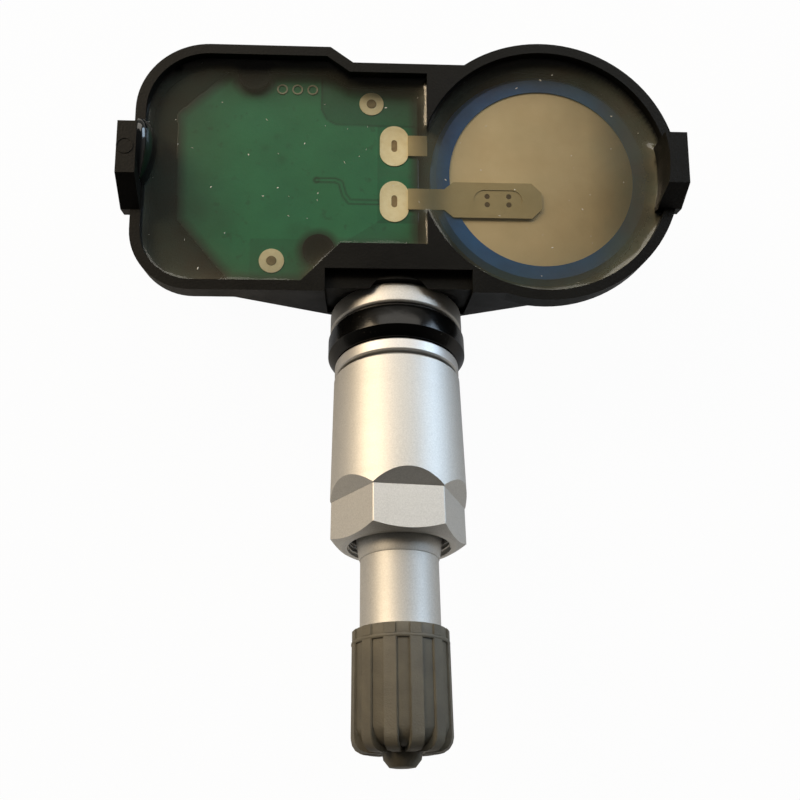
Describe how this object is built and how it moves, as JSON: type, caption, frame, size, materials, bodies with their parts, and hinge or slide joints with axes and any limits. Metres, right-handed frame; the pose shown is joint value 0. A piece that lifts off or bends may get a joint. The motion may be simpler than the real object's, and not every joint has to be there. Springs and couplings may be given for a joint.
{
  "type": "tyre pressure sensor",
  "caption": "Clamp-in tyre pressure sensor: potted plastic housing with a circuit board and coin cell, on a tilted metal tyre valve with seal, washer, nut and cap.",
  "frame": {"origin": "the middle of the housing's flat back, on the centre plane of the valve", "axes": "+X along the housing from the board end to the battery end, +Y away from the valve (the valve points to -Y and tilts up towards +Z by 17.5 degrees), +Z out of the potted side"},
  "size_m": [0.06, 0.0751, 0.0255],
  "materials": {
    "black_plastic": "moulded, fine even texture on the rim, smoother on the ledge",
    "potting": "clear compound, glossy with a faint haze",
    "board_green": "solder mask over glass-fibre laminate",
    "tin": "hot-tinned pads, dull",
    "cell_steel": "nickel-plated steel, fine drawing marks",
    "blue_sleeve": "thin shrunk film",
    "tab_nickel": "rolled nickel strip, satin",
    "chip_black": "moulded epoxy",
    "foam_grey": "soft gasket",
    "ferrite": "sintered, dull",
    "copper": "enamelled copper wire",
    "crystal_can": "plated can",
    "chip_tan": "ceramic chip body",
    "aluminium": "turned, clear anodised, satin",
    "black_rubber": "moulded, semi-gloss",
    "brass": "turned",
    "seal_white": "pressed sealing ring",
    "spring_steel": "drawn wire",
    "cap_plastic": "moulded, slightly rough"
  },
  "bodies": {
    "sensor": {"housing": "black_plastic", "potting": "potting", "circuit_board": "board_green", "solder_pads": "tin", "battery_cell": "cell_steel", "battery_sleeve": "blue_sleeve", "negative_tab": "tab_nickel", "positive_tab": "tab_nickel", "sensor_chip": "chip_black", "port_gasket": "foam_grey", "coil_core": "ferrite", "coil_winding": "copper", "crystal": "crystal_can", "capacitors": "chip_tan", "antenna_wire": "copper", "valve_stem": "aluminium", "grommet": "black_rubber", "core_body": "brass", "core_gasket": "seal_white", "core_spring": "spring_steel"},
    "washer": {"washer": "aluminium"},
    "nut": {"valve_nut": "aluminium"},
    "seal": {"cap_seal": "black_rubber"},
    "cap": {"valve_cap": "cap_plastic"},
    "pin": {"core_pin": "brass", "core_cup": "black_rubber"}
  },
  "joints": [
    {"name": "nut_slide", "type": "slide", "parent": "sensor", "child": "washer", "axis": [0, -0.9537, 0.3007], "range_m": [0, 0.007]},
    {"name": "nut_turn", "type": "hinge", "parent": "washer", "child": "nut", "pos_m": [0, -0.02272, 0.01012], "axis": [0, -0.9537, 0.3007], "range_deg": [0, 2520]},
    {"name": "cap_slide", "type": "slide", "parent": "sensor", "child": "seal", "axis": [0, -0.9537, 0.3007], "range_m": [0, 0.00794]},
    {"name": "cap_turn", "type": "hinge", "parent": "seal", "child": "cap", "pos_m": [0, -0.04847, 0.01824], "axis": [0, -0.9537, 0.3007], "range_deg": [0, 3600]},
    {"name": "core_press", "type": "slide", "parent": "sensor", "child": "pin", "axis": [0, 0.9537, -0.3007], "range_m": [0, 0.001], "stiffness_N_per_m": 60, "springref_m": -0.0005, "deforming": ["core_spring"]}
  ],
  "couplings": [
    {"joint": "nut_turn", "follows": "nut_slide", "rad_per_m": 6283.2},
    {"joint": "cap_turn", "follows": "cap_slide", "rad_per_m": 7915.8}
  ]
}
